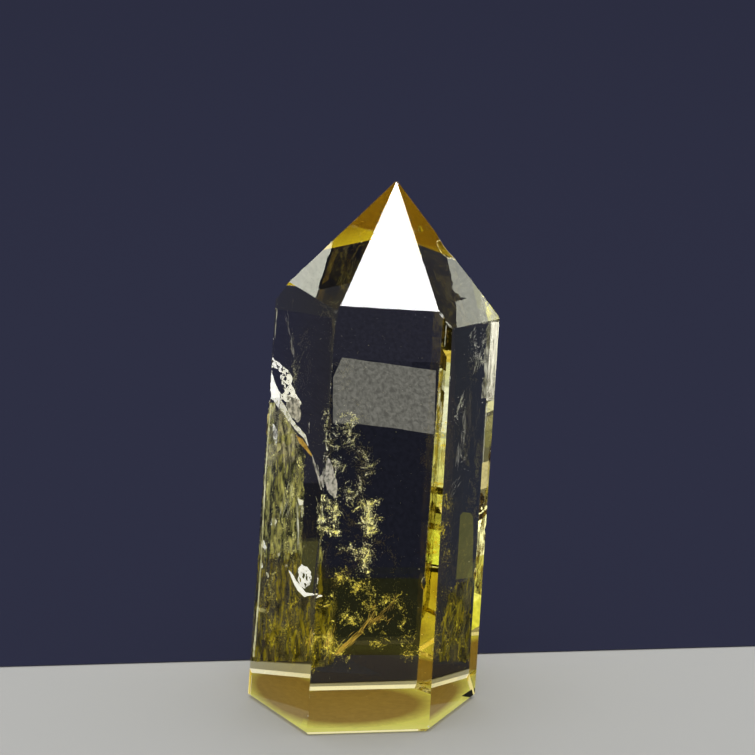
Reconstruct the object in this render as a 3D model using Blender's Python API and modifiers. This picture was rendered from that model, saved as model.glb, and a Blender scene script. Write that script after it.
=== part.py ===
"""Citrine crystal point: a polished six-sided quartz prism, cut to a six-faced point, on a flat sawn base.

The stone is shaped the way a lapidary shapes it: a round blank is cut by one flat facet after another,
its arrises are softened, and small shell-shaped chips are broken out of the edges. It stands on its
base at z = 0.
"""

import math

import bmesh
import bpy
from mathutils import Matrix, Vector

MM = 0.001

# Heights along the column, from the base
SHOULDER_HEIGHT = 55.0 * MM  # the level at which the prism faces' distances are given
POINT_HEIGHT = 13.6 * MM  # from the shoulder level up to where the point's faces meet
TIP_WEAR = 0.2 * MM  # the very tip is rubbed flat by this much
LEAN = math.radians(3.8)  # the column leans towards +X: its base was sawn a little out of square

# Prism faces: the way each looks, in degrees from -Y towards +X, its distance from the column's axis at
# the shoulder, and the flare in degrees by which the stone widens towards its base
PRISM_FACES = {
    "front": (0.0, 11.5 * MM, 0.4),
    "right": (57.0, 12.2 * MM, 1.0),
    "back_right": (120.0, 12.1 * MM, 0.4),
    "back": (179.0, 11.2 * MM, 0.6),
    "back_left": (240.0, 12.5 * MM, 0.8),
    "left": (298.0, 11.7 * MM, 0.5),
}

# Point faces: the way each looks, and its slope from level in degrees. They all meet at the apex.
POINT_FACES = {
    "front": (0.5, 49.7),
    "right": (60.5, 53.3),
    "back_right": (118.0, 53.6),
    "back": (180.0, 54.5),
    "back_left": (244.0, 51.0),
    "left": (302.0, 48.7),
}
APEX_OFFSET = Vector((0.2 * MM, 0.05 * MM))  # the apex stands this far off the column's axis

BLANK_RADIUS = 20.0 * MM
BLANK_SIDES = 24
BLANK_MARGIN = 6.0 * MM  # spare length at both ends of the blank

BASE_CHAMFER = 0.5 * MM  # the facet ground round the foot, at 45 degrees
ARRIS = 0.09 * MM  # width taken off each edge by polishing

# Chips: each one's name, the two faces whose edge it breaks, its height above the shoulder level, its
# length along the edge, the radius of its bowl across the edge, and its depth
CHIPS = (
    ("point_chip", ("point", "right"), ("point", "back_right"), 5.6 * MM, 4.0 * MM, 1.5 * MM, 0.32 * MM),
    ("shoulder_nick", ("prism", "front"), ("point", "right"), -1.5 * MM, 1.1 * MM, 0.5 * MM, 0.16 * MM),
    ("corner_nick", ("prism", "front"), ("prism", "left"), -0.5 * MM, 0.9 * MM, 0.5 * MM, 0.15 * MM),
    ("crack_mouth", ("prism", "left"), ("prism", "back_left"), -15.0 * MM, 1.9 * MM, 1.1 * MM, 0.42 * MM),
    ("left_nick", ("prism", "left"), ("prism", "back_left"), -27.0 * MM, 1.2 * MM, 0.6 * MM, 0.16 * MM),
    ("front_nick", ("prism", "front"), ("prism", "left"), -36.5 * MM, 1.3 * MM, 0.7 * MM, 0.2 * MM),
    ("right_nick", ("prism", "right"), ("prism", "back_right"), -31.0 * MM, 1.1 * MM, 0.6 * MM, 0.18 * MM),
    ("back_chip", ("prism", "back"), ("prism", "back_left"), -21.0 * MM, 3.0 * MM, 1.4 * MM, 0.4 * MM),
    ("back_nick", ("prism", "back"), ("prism", "back_right"), -40.0 * MM, 1.8 * MM, 0.9 * MM, 0.25 * MM),
)
BOWL_SUBDIVISIONS = 4  # of the icosphere that stands for a chip's bowl

CLEAN_EDGE = 0.003 * MM  # corners closer than this, left where a chip just grazes an edge, are one corner

# Finish: colour of a clear golden quartz
CITRINE_COLOUR = (0.86, 0.68, 0.2, 1.0)
CITRINE_ROUGHNESS = 0.03
QUARTZ_IOR = 1.544


def clear_scene():
    """Removes everything that the startup scene holds."""
    for obj in list(bpy.data.objects):
        bpy.data.objects.remove(obj)


def collection(name):
    """A new collection in the scene."""
    made = bpy.data.collections.new(name)
    bpy.context.scene.collection.children.link(made)
    return made


def outward(facing_deg, tilt_up_deg):
    """The unit normal of a face that looks this way and is tilted up from upright by this much."""
    facing = math.radians(facing_deg)
    tilt = math.radians(tilt_up_deg)
    return Vector((math.sin(facing) * math.cos(tilt), -math.cos(facing) * math.cos(tilt), math.sin(tilt)))


def face_planes():
    """Each face as (a point on it, its outward normal), by kind and name, on an upright column whose
    shoulder level is at z = 0."""
    planes = {}
    for name, (facing, distance, flare) in PRISM_FACES.items():
        planes["prism", name] = outward(facing, 0.0) * distance, outward(facing, flare)
    apex = Vector((*APEX_OFFSET, POINT_HEIGHT))
    for name, (facing, slope) in POINT_FACES.items():
        planes["point", name] = apex, outward(facing, 90.0 - slope)
    return planes


def cut_facet(mesh, point, normal):
    """Takes off all that lies outside this plane, and closes the cut with one flat face."""
    cut = bmesh.ops.bisect_plane(
        mesh,
        geom=mesh.verts[:] + mesh.edges[:] + mesh.faces[:],
        dist=1e-7,
        plane_co=point,
        plane_no=normal,
        clear_outer=True,
    )
    rim = [item for item in cut["geom_cut"] if isinstance(item, bmesh.types.BMEdge)]
    bmesh.ops.contextual_create(mesh, geom=rim)


def lean_about_shoulder():
    """The matrix that leans the column towards +X about the middle of its shoulder level."""
    return Matrix.Rotation(LEAN, 4, "Y")


def cut_stone(planes):
    """The faceted stone as a bmesh, leaned, with its shoulder level at z = 0 and its base sawn level."""
    stone = bmesh.new()
    length = SHOULDER_HEIGHT + POINT_HEIGHT + 2 * BLANK_MARGIN
    bmesh.ops.create_cone(
        stone,
        cap_ends=True,
        segments=BLANK_SIDES,
        radius1=BLANK_RADIUS,
        radius2=BLANK_RADIUS,
        depth=length,
        matrix=Matrix.Translation((0, 0, POINT_HEIGHT + BLANK_MARGIN - length / 2)),
    )
    for point, normal in planes.values():
        cut_facet(stone, point, normal)
    cut_facet(stone, Vector((*APEX_OFFSET, POINT_HEIGHT - TIP_WEAR)), Vector((0, 0, 1)))
    bmesh.ops.transform(stone, matrix=lean_about_shoulder(), verts=stone.verts)
    base = Vector((0, 0, -SHOULDER_HEIGHT))
    cut_facet(stone, base, Vector((0, 0, -1)))
    for facing, distance, flare in PRISM_FACES.values():
        cut_facet(stone, *foot_facet(facing, distance, flare))
    return stone


def foot_facet(facing, distance, flare):
    """The plane of the small facet, at 45 degrees, between the base and one prism face."""
    normal = lean_about_shoulder().to_3x3() @ outward(facing, flare)
    on_face = lean_about_shoulder() @ (outward(facing, 0.0) * distance)
    level = Vector((normal.x, normal.y, 0)).normalized()
    drop = SHOULDER_HEIGHT + on_face.z
    foot = Vector((on_face.x, on_face.y, -SHOULDER_HEIGHT)) + level * (drop * normal.z / normal.dot(level))
    return foot - level * BASE_CHAMFER, (level + Vector((0, 0, -1))).normalized()


def edge_at(plane_a, plane_b, height):
    """The point at this height on the edge where two planes meet, and the edge's direction."""
    (point_a, normal_a), (point_b, normal_b) = plane_a, plane_b
    along = normal_a.cross(normal_b).normalized()
    system = Matrix((normal_a, normal_b, Vector((0, 0, 1))))
    return system.inverted() @ Vector((normal_a.dot(point_a), normal_b.dot(point_b), height)), along


def chip_cutter(name, planes, face_a, face_b, height, length, radius, depth, group):
    """The shallow bowl that breaks a chip out of the edge between two faces."""
    centre, along = edge_at(planes[face_a], planes[face_b], height)
    out = (planes[face_a][1] + planes[face_b][1]).normalized()
    # The bowl's centre stands outside the edge, so that only its lowest part reaches into the stone.
    stand_off = radius - depth
    turn = Matrix((along, out.cross(along), out)).transposed()
    bowl = Matrix.Translation(centre + out * stand_off) @ turn.to_4x4()
    half_length = length / 2 / math.sqrt(1 - (stand_off / radius) ** 2)
    size = Matrix.Diagonal((half_length, radius, radius, 1.0))
    mesh = bmesh.new()
    bmesh.ops.create_icosphere(
        mesh,
        subdivisions=BOWL_SUBDIVISIONS,
        radius=1.0,
        matrix=lean_about_shoulder() @ bowl @ size,
    )
    cutter = new_object(name + "_cutter", mesh, group)
    cutter.hide_render = True
    cutter.display_type = "WIRE"
    return cutter


def new_object(name, mesh, group):
    """An object from this bmesh, in this collection."""
    data = bpy.data.meshes.new(name)
    mesh.to_mesh(data)
    mesh.free()
    obj = bpy.data.objects.new(name, data)
    group.objects.link(obj)
    return obj


def citrine():
    """Clear golden quartz."""
    material = bpy.data.materials.new("citrine")
    material.use_nodes = True
    shader = material.node_tree.nodes["Principled BSDF"]
    shader.inputs["Base Color"].default_value = CITRINE_COLOUR
    shader.inputs["Roughness"].default_value = CITRINE_ROUGHNESS
    shader.inputs["Metallic"].default_value = 0.0
    shader.inputs["IOR"].default_value = QUARTZ_IOR
    shader.inputs["Transmission Weight"].default_value = 1.0
    return material


def stand_on_base(obj):
    """Puts the base at z = 0 and the middle of the stone's width and depth on the Z axis."""
    corners = [vertex.co for vertex in obj.data.vertices]
    low = Vector(min(corner[axis] for corner in corners) for axis in range(3))
    high = Vector(max(corner[axis] for corner in corners) for axis in range(3))
    shift = Vector((-(low.x + high.x) / 2, -(low.y + high.y) / 2, -low.z))
    for item in (obj, *bpy.data.collections["chip_cutters"].objects):
        item.data.transform(Matrix.Translation(shift))


def main():
    clear_scene()
    group = collection("citrine_crystal_point")
    cutters = collection("chip_cutters")
    planes = face_planes()

    crystal = new_object("crystal_point", cut_stone(planes), group)
    crystal.data.materials.append(citrine())

    soften = crystal.modifiers.new("polished_arrises", "BEVEL")
    soften.width = ARRIS
    soften.segments = 1
    soften.limit_method = "ANGLE"
    soften.angle_limit = math.radians(20)

    for name, *where_and_size in CHIPS:
        chip = crystal.modifiers.new(name, "BOOLEAN")
        chip.operation = "DIFFERENCE"
        chip.solver = "EXACT"
        chip.object = chip_cutter(name, planes, *where_and_size, cutters)

    clean = crystal.modifiers.new("clean_corners", "WELD")
    clean.merge_threshold = CLEAN_EDGE

    stand_on_base(crystal)


main()
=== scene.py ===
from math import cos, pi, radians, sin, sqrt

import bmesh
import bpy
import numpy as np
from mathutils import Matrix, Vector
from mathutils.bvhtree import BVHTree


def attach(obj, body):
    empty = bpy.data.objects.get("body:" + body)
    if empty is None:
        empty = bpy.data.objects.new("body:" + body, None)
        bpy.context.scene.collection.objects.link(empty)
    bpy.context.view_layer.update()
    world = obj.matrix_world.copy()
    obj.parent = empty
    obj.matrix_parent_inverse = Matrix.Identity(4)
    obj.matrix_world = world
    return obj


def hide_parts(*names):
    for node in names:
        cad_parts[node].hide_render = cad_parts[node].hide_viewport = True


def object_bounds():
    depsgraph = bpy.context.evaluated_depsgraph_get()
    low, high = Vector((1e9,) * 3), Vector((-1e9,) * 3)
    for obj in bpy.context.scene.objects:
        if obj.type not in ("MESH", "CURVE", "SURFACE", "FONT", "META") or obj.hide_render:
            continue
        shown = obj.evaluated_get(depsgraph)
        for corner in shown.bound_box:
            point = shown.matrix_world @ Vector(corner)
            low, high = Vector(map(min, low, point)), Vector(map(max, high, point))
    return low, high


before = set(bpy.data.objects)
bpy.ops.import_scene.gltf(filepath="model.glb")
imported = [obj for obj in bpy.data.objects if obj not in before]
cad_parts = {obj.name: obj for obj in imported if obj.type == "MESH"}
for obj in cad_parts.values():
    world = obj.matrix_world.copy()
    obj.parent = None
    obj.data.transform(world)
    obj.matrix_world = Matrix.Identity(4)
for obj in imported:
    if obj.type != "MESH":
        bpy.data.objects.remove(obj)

# Looks of the citrine crystal point: clear golden quartz with its fractures, veils and needles, on a pale
# floor with a dark sheet lying behind it. Lengths are in metres; the part's frame is +Z up, -Y to the viewer.
#
# Inclusions are placed where they show: a photo pixel gives a sight line, which is bent where it enters the
# stone, and the inclusion lies at a stated depth along it.

MM = 0.001
CAD_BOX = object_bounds()
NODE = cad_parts["crystal_point"]

# --- Camera ---

PHOTO_SIDE = 755  # pixels
SENSOR = 36.0
LENS = 114.44
CLIP_START = 0.01
CLIP_END = 20.0
CAMERA_AZIMUTH = radians(-4.2)  # from -Y towards +X
CAMERA_ELEVATION = radians(15.2)
CAMERA_DISTANCE = 300 * MM
CAMERA_TARGET = Vector((0.58, -2.869, 44.144)) * MM

LEVEL = cos(CAMERA_ELEVATION)
RIGHT = Vector((cos(CAMERA_AZIMUTH), sin(CAMERA_AZIMUTH), 0))
# From the stone to the camera
BACK = Vector((sin(CAMERA_AZIMUTH) * LEVEL, -cos(CAMERA_AZIMUTH) * LEVEL, sin(CAMERA_ELEVATION)))
UP = BACK.cross(RIGHT)
EYE = CAMERA_TARGET + BACK * CAMERA_DISTANCE


def new_object(name, data):
    """A new object in the scene."""
    made = bpy.data.objects.new(name, data)
    bpy.context.scene.collection.objects.link(made)
    return made


def make_camera():
    data = bpy.data.cameras.new("camera")
    data.sensor_width = SENSOR
    data.lens = LENS
    data.clip_start = CLIP_START
    data.clip_end = CLIP_END
    camera = new_object("camera", data)
    camera.location = EYE
    camera.rotation_mode = "QUATERNION"
    camera.rotation_quaternion = (-BACK).to_track_quat("-Z", "Y")
    bpy.context.scene.camera = camera


# --- Sight lines ---

QUARTZ_IOR = 1.544
MOST_TURNS = 16  # total reflections inside the stone that a sight line is followed through
STEP_OFF = 0.001 * MM
SURFACE = BVHTree.FromPolygons(
    [vertex.co for vertex in NODE.data.vertices],
    [polygon.vertices for polygon in NODE.data.polygons],
)


def sight(pixels):
    """Unit directions from the camera through photo pixels, given as rows of x, y."""
    off = (np.atleast_2d(np.asarray(pixels, float)) - PHOTO_SIDE / 2) * SENSOR / LENS / PHOTO_SIDE
    rays = -np.array(BACK) + off[:, :1] * np.array(RIGHT) - off[:, 1:] * np.array(UP)
    return rays / np.linalg.norm(rays, axis=1, keepdims=True)


def facet_at(pixel):
    """A point on the facet that shows at this pixel, and the facet's outward normal."""
    point, normal, _, _ = SURFACE.ray_cast(EYE, Vector(sight(pixel)[0]))
    return np.array(point), np.array(normal)


def on_facet(facet, pixels):
    """The points of the facet's plane that show at these pixels, and the sight lines' directions there."""
    point, normal = facet
    rays = sight(pixels)
    reach = (point - np.array(EYE)) @ normal / (rays @ normal)
    return np.array(EYE) + rays * reach[:, None], rays


def inside(facet, pixels, depths):
    """The points inside the stone that show at these pixels through this facet, this far along the bent
    sight lines."""
    entries, rays = on_facet(facet, pixels)
    normal = facet[1]
    facing = -(rays @ normal)
    turned = np.sqrt(1 - (1 - facing**2) / QUARTZ_IOR**2)
    lines = rays / QUARTZ_IOR + (facing / QUARTZ_IOR - turned)[:, None] * normal
    return entries + lines * np.broadcast_to(depths, len(entries))[:, None]


def mirrored(facet, pixels, distance):
    """The points whose reflections in this facet show at these pixels, this far from the stone."""
    points, rays = on_facet(facet, pixels)
    normal = facet[1]
    return points + (rays - 2 * (rays @ normal)[:, None] * normal) * distance


def bent(ray, normal, ratio):
    """This ray refracted through a surface whose normal faces it, or None where all of it is reflected."""
    facing = -ray.dot(normal)
    spread = 1 - ratio**2 * (1 - facing**2)
    if spread < 0:
        return None
    return (ray * ratio + normal * (ratio * facing - sqrt(spread))).normalized()


def beyond(pixel):
    """Where the sight line through this pixel, once out of the stone, comes down to the floor."""
    ray = Vector(sight(pixel)[0])
    point, normal, _, _ = SURFACE.ray_cast(EYE, ray)
    ray = bent(ray, normal, 1 / QUARTZ_IOR)
    for _ in range(MOST_TURNS):
        point, normal, _, _ = SURFACE.ray_cast(point + ray * STEP_OFF, ray)
        out = bent(ray, -normal, QUARTZ_IOR)
        if out is not None:
            break
        ray = ray.reflect(normal)
    return point + out * (CARD_HEIGHT - point.z) / out.z


FRONT = facet_at((390, 480))
LEFT = facet_at((290, 480))
RIGHT_FACE = facet_at((465, 480))
POINT_FRONT = facet_at((395, 280))
POINT_LEFT = facet_at((325, 275))
POINT_RIGHT = facet_at((445, 280))

# --- Helpers ---

NOISE_DETAIL = 6.0
NOISE_DISTORTION = 0.6


def add_object(name, points, faces, material):
    """A mesh of one material."""
    mesh = bpy.data.meshes.new(name)
    mesh.from_pydata([tuple(point) for point in points], [], faces)
    mesh.materials.append(material)
    return new_object(name, mesh)


def new_material(name):
    material = bpy.data.materials.new(name)
    material.use_nodes = True
    return material


def principled(name, colour, roughness, specular=0.5):
    """A new material and its Principled node."""
    material = new_material(name)
    shader = material.node_tree.nodes["Principled BSDF"]
    look = {"Base Color": (*colour, 1.0), "Roughness": roughness, "Specular IOR Level": specular}
    feed(shader, look)
    return material, shader


def feed(node, inputs):
    """Sets a node's inputs, by name or number, each to a value or to the output that leads into it."""
    for socket, value in inputs.items():
        if isinstance(value, bpy.types.NodeSocket):
            node.id_data.links.new(value, node.inputs[socket])
        else:
            node.inputs[socket].default_value = value


def add_node(material, kind, inputs, **settings):
    """A new node with these settings and inputs."""
    node = material.node_tree.nodes.new("ShaderNode" + kind)
    for setting, value in settings.items():
        setattr(node, setting, value)
    feed(node, inputs)
    return node


def object_place(material, stretch=None):
    """The place on the object, stretched by these factors, as an output that textures take."""
    place = add_node(material, "TexCoord", {}).outputs["Object"]
    if stretch is None:
        return place
    return add_node(material, "Mapping", {"Vector": place, "Scale": stretch}).outputs["Vector"]


def noise_ramp(material, place, span, low_colour, high_colour, scale=1):
    """A colour that turns from one to the other where noise goes through this span, as an output."""
    inputs = {"Scale": scale, "Detail": NOISE_DETAIL, "Distortion": NOISE_DISTORTION, "Vector": place}
    noise = add_node(material, "TexNoise", inputs)
    ramp = add_node(material, "ValToRGB", {"Fac": noise.outputs["Fac"]})
    for element, position, colour in zip(ramp.color_ramp.elements, span, (low_colour, high_colour)):
        element.position = position
        element.color = (*colour, 1.0)
    return ramp.outputs["Color"]


# --- Stage ---

# The pale floor, and the dark sheet behind the stone: colour, roughness, bounds in x and y, and height. The
# floor keeps off the stone's flat base.
GROUNDS = {
    "floor": ((0.42, 0.42, 0.41), 0.9, (-5, 5), (-5, 5), -0.02 * MM),
    "sheet": ((0.0245, 0.0262, 0.05), 0.95, (-0.5, 0.5), (14 * MM, 2), 0.1 * MM),
}
WORLD_STRENGTH = 1.0
TOP_LIGHT_PLACE = (0, -0.1, 0.9)
TOP_LIGHT_SIZE = 0.5
TOP_LIGHT_RADIANCE = 1.6


def make_stage():
    for name, (colour, roughness, (x0, x1), (y0, y1), z) in GROUNDS.items():
        material, _ = principled(name, colour, roughness, 0.0)
        corners = [(x0, y0, z), (x1, y0, z), (x1, y1, z), (x0, y1, z)]
        piece = add_object(name, corners, [(0, 1, 2, 3)], material)


def make_world():
    world = bpy.data.worlds.new("world")
    world.use_nodes = True
    feed(world.node_tree.nodes["Background"], {"Color": (1, 1, 1, 1), "Strength": WORLD_STRENGTH})
    bpy.context.scene.world = world


def make_top_light():
    data = bpy.data.lights.new("top_light", "AREA")
    data.size = TOP_LIGHT_SIZE
    data.energy = TOP_LIGHT_RADIANCE * pi * TOP_LIGHT_SIZE**2
    new_object("top_light", data).location = TOP_LIGHT_PLACE


# Panels round the stone: each has a radiance, 0 for a black one, a colour, and a grain by which it is mottled
CARD_GRAIN_SPAN = (0.35, 0.65)
CARD_GRAIN_STRETCH = (1400.0, 380.0, 1.0)  # the floor is seen at a slant, so its grain is drawn out along it
PANEL_DISTANCE = 500 * MM
BLACK_DISTANCE = 520 * MM
BLACK_HEIGHT = 0.15 * MM
SHADE_HEIGHT = 0.25 * MM
CARD_HEIGHT = 0.35 * MM
SEEN_LIFT = 0.1 * MM  # the patches lie this much over the shades
SHADE_SPREAD = 1.07  # the shades reach a little past what shows in their facet

# Panels mirrored in the point's facets, with black ones behind the white: the facet, the outline of their
# image in photo pixels, and their distance
MIRRORED_PANELS = {
    "key_card": (POINT_FRONT, [(400, 150), (330, 325), (450, 325)], PANEL_DISTANCE, 21.5),
    "left_card": (POINT_LEFT, [(333, 240), (315.5, 300), (270, 330), (270, 250), (322, 240)],
        PANEL_DISTANCE, 6, (1, 1.01, 0.84), 0.08),
    "right_card": (POINT_RIGHT, [(448, 257.5), (449.5, 268), (452, 281), (453.6, 289), (462, 297),
        (465, 299), (456, 301), (457.5, 332), (520, 332), (500, 262)], PANEL_DISTANCE, 2.2, (1, 1.01, 0.84),
        0.08),
    "left_black_card": (POINT_LEFT, [(400, 160), (250, 260), (250, 340), (360, 340)], BLACK_DISTANCE, 0),
    "right_black_card": (POINT_RIGHT, [(390, 160), (540, 280), (540, 350), (430, 350)], BLACK_DISTANCE, 0),
}
# Black panels on the pale floor round the stone, below the photo: corners in millimetres
BLACK_CORNERS = {
    "front_black_card": [(-280, -300), (-140, -14), (80, -14), (240, -300)],
    "right_black_card_low": [(13, -14), (120, -14), (120, 14), (13, 14)],
    "left_black_card_low": [(-120, -14), (-17, -14), (-17, 14), (-120, 14)],
}
# Glowing panels on the floor that show through the stone, outlined in photo pixels: painted light and shade
# on the cloth. patch_card is a painted pool of light seen high in the front face, left_shade_low the olive
# zone of the left face, and right_patch_card a dim painted patch of light in the right one. The others are
# painted shadow, the cloth in the stone's own shadow.
SEEN_PANELS = {
    "patch_card": ([(342, 358), (436, 371), (434, 435), (402, 430), (361, 424.5), (333, 424), (333, 378)],
                   0.155, (1, 1.07, 1.65), 0.3),
    "front_shade_top": ([(342, 309), (437, 313), (438, 368), (334, 364)], 0.022, (1, 1.1, 2.9), 0.15),
    "front_shade_middle": ([(334, 364), (438, 368), (423, 569), (321, 569)], 0.0115, (1, 1.15, 3.2), 0.15),
    "front_shade_low": ([(321, 570), (423, 570), (416, 652), (316, 652)], 0.017, (1, 1.14, 0.9), 0.15),
    "left_shade_top": ([(279, 314), (332, 322), (323, 476), (266, 476)], 0.021, (1, 1.08, 2.6), 0.15),
    "left_shade_middle": ([(266, 477), (323, 477), (318, 539), (262, 539)], 0.009, (1, 1.06, 2.1), 0.15),
    "left_shade_low": ([(299, 541), (318, 539), (312, 596), (296, 594)], 0.06, (1, 1.07, 0.6), 0.15),
    "right_patch_card": ([(460, 516), (463, 512.5), (471, 513.5), (473.5, 518), (472, 578), (456, 580)],
                         0.1, (1, 1.06, 0.55), 0.1),
    "right_shade": ([(455, 334), (487, 334), (467, 645), (438, 645)], 0.021, (1, 1.2, 2.45), 0.15),
}
# Dim bands on the floor under the lit pieces of the two bright edges: corners in millimetres
FLOOR_PANELS = {
    "yellow_dark": ([(82, 78), (88, 74), (15, -3), (9, 1)], 0.014, (1, 1, 0.8), 0),
    "right_strip_dark": ([(-96, -166), (-86, -172), (-11, -14), (-21, -14)], 0.14, (1, 1.05, 1.3), 0.4),
}
# The stone's two bright edges show the floor beside it, after total reflections inside the stone. Each is a
# strip of the photo between two lines, given by their x at two rows, and is lit in pieces: the photo's rows
# where a piece begins and ends, its radiance and its colour. The last piece of each ends where the sight
# lines take another way. The half-width is the lit pieces' own.
STRIP_ROWS = (330, 640)
STRIP_GRAIN = 0.22
YELLOW_EDGES = ((443, 420), (453, 435))
YELLOW_HALF_WIDTH = 1.7 * MM
YELLOW_PIECES = (
    (350.5, 362, 0.78, (1, 1.03, 1.1)),
    (361.5, 378, 0.85, (1, 1.36, 5)),
    (378, 386, 0.72, (1, 1.4, 6)),
    (385.5, 432.5, 1.05, (1, 1.4, 7.4)),
    (432, 438, 0.55, (1, 1.4, 6)),
    (437.5, 448, 0.88, (1, 1.36, 4.4)),
    (448, 453, 0.6, (1, 1.36, 3.6)),
    (452.5, 487, 0.82, (1, 1.34, 3.1)),
    (494, 506, 0.8, (1, 1.3, 1.5)),
    (513, 524, 0.38, (1, 1.25, 1)),
    (530, 549, 0.85, (1, 1.4, 0.8)),
    (549, 564, 0.95, (1, 1.45, 0.9)),
)
RIGHT_EDGES = ((491, 472), (498, 478))
RIGHT_TOP_HALF_WIDTH = 5 * MM
RIGHT_TOP_PIECES = ((322, 400, 3.5, (1, 1.02, 1.2)),)
# Here the outer part of the edge shows the floor in front of the stone
RIGHT_MIDDLE_EDGES = ((506, 449), (498, 481))
RIGHT_HALF_WIDTH = 1.7 * MM
RIGHT_MIDDLE_PIECES = ((400, 411, 1, (1, 1.1, 1.4)), (416, 430, 0.35, (1, 1.05, 1)))
RIGHT_PIECES = (
    (430, 447, 0.24, (1, 1.07, 0.9)),
    (448, 461, 0.16, (1, 1.05, 1.2)),
    (462, 488, 0.72, (1, 1, 1.15)),
    (489, 506, 0.16, (1, 1.05, 1.3)),
    (507, 556, 2.4, (1, 1.12, 1.4)),
    (556, 600, 1.15, (1, 1.1, 0.5)),
    (600, 628, 0.9, (1, 1.1, 0.25)),
)


def card(name, corners, radiance, colour=(1.0, 1.0, 1.0), grain=0.0):
    """A plain panel that shows only in and through the stone's polished faces, as a studio's panels do."""
    material = new_material(name)
    nodes = material.node_tree.nodes
    nodes.remove(nodes["Principled BSDF"])
    glow = add_node(material, "Emission", {"Color": (*colour, 1.0), "Strength": radiance})
    if grain:
        low, high = (tuple(c * share for c in colour) for share in (1 - grain, 1 + grain))
        place = object_place(material, CARD_GRAIN_STRETCH)
        feed(glow, {"Color": noise_ramp(material, place, CARD_GRAIN_SPAN, low, high)})
    feed(nodes["Material Output"], {"Surface": glow.outputs[0]})
    piece = add_object(name, corners, [tuple(range(len(corners)))], material)
    piece.visible_camera = False
    piece.visible_diffuse = False
    piece.visible_shadow = False


def on_floor(corners, height):
    """Points a little over the floor, from x and y in millimetres."""
    return [(x * MM, y * MM, height) for x, y in corners]


def make_cards():
    for name, (facet, outline, distance, *look) in MIRRORED_PANELS.items():
        card(name, mirrored(facet, outline, distance), *look)
    for name, corners in BLACK_CORNERS.items():
        card(name, on_floor(corners, BLACK_HEIGHT), 0.0)
    for name, (outline, *look) in SEEN_PANELS.items():
        lift = Vector((0, 0, SEEN_LIFT if "patch" in name else 0))
        corners = [beyond(pixel) + lift for pixel in outline]
        middle = sum(corners, Vector()) / len(corners)
        spread = 1.0 if "patch" in name else SHADE_SPREAD
        card(name, [middle + (corner - middle) * spread for corner in corners], *look)
    for name, (corners, *look) in FLOOR_PANELS.items():
        card(name, on_floor(corners, SHADE_HEIGHT), *look)
    strip_cards("yellow_card", YELLOW_EDGES, YELLOW_PIECES, YELLOW_HALF_WIDTH)
    strip_cards("right_top_card", RIGHT_EDGES, RIGHT_TOP_PIECES, RIGHT_TOP_HALF_WIDTH)
    strip_cards("right_middle_card", RIGHT_MIDDLE_EDGES, RIGHT_MIDDLE_PIECES, RIGHT_HALF_WIDTH)
    strip_cards("right_strip_card", RIGHT_EDGES, RIGHT_PIECES, RIGHT_HALF_WIDTH)


def strip_cards(name, edges, pieces, half_width):
    """The lit pieces of the floor that show in a strip of the photo, this far to each side of its middle."""
    for number, (top, bottom, radiance, colour) in enumerate(pieces):
        ends = []
        for row in (top, bottom):
            along = (row - STRIP_ROWS[0]) / (STRIP_ROWS[1] - STRIP_ROWS[0])
            left, right = (a + (b - a) * along for a, b in edges)
            ends.append(beyond(((left + right) / 2, row)))
        across = (ends[1] - ends[0]).cross(Vector((0, 0, 1))).normalized() * half_width
        corners = (ends[0] - across, ends[0] + across, ends[1] + across, ends[1] - across)
        card(f"{name}_{number}", corners, radiance, colour, STRIP_GRAIN)


# --- Stone ---

ABSORPTION_COLOUR = (0.94, 0.83, 0.1)
ABSORPTION_DENSITY = 34.0  # per metre, times one minus the colour
POLISH_ROUGHNESS = 0.0
POLISH_SCALE = 260.0
POLISH_RIPPLE = 0.002 * MM
FACES_DOWN = -0.999  # the normal's z below which a face is part of the flat base
# The base's colours paint shade and light: dark in its middle, and lit and glowing towards its rim
GROUND_SHADED = (0.52, 0.38, 0.18)
GROUND_LIT = (0.96, 1.0, 0.32)
GROUND_ROUGHNESS = 0.9
GROUND_SPECULAR = 0.2
GROUND_PAINTED_GLOW = 0.18
GROUND_MIDDLE = (-3.0 * MM, 3.0 * MM, 0.0)  # of the part that gets little light
GROUND_RIM = (8.6 * MM, 12.4 * MM)  # the distances from there between which the base gets lighter
GROUND_GRAIN = 900.0
GRAIN_SPAN = (0.3, 0.7)
GRAIN_DARK = (0.85, 0.85, 0.85)
GROUND_CLEARANCE = 0.03 * MM
GROUND_THICKNESS = 0.05 * MM
GROUND_SHARE = 0.995  # of the base's width


def citrine():
    """Clear golden quartz, its facets faintly rippled by hand polishing."""
    material, shader = principled("citrine_clear", (1.0, 1.0, 1.0), POLISH_ROUGHNESS)
    ripple = add_node(material, "TexNoise", {"Scale": POLISH_SCALE, "Vector": object_place(material)})
    bump = add_node(material, "Bump", {"Distance": POLISH_RIPPLE, "Height": ripple.outputs["Fac"]})
    look = {"IOR": QUARTZ_IOR, "Transmission Weight": 1.0, "Normal": bump.outputs["Normal"]}
    feed(shader, look)
    tint = {"Color": (*ABSORPTION_COLOUR, 1.0), "Density": ABSORPTION_DENSITY}
    absorb = add_node(material, "VolumeAbsorption", tint)
    feed(material.node_tree.nodes["Material Output"], {"Volume": absorb.outputs[0]})
    return material


def make_stone():
    stone = new_object("stone", NODE.data.copy())
    stone.data.materials.clear()
    stone.data.materials.append(citrine())
    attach(stone, "root")
    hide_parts("crystal_point")


def base_outline():
    """The corners of the flat base, in order round it, and their middle."""
    mesh = NODE.data
    rim = {}
    for polygon in mesh.polygons:
        if polygon.normal.z < FACES_DOWN:
            for index in polygon.vertices:
                rim[index] = np.array(mesh.vertices[index].co)
    points = np.array(list(rim.values()))
    middle = points.mean(0)
    turn = np.arctan2(points[:, 1] - middle[1], points[:, 0] - middle[0])
    return points[np.argsort(turn)], middle


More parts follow.
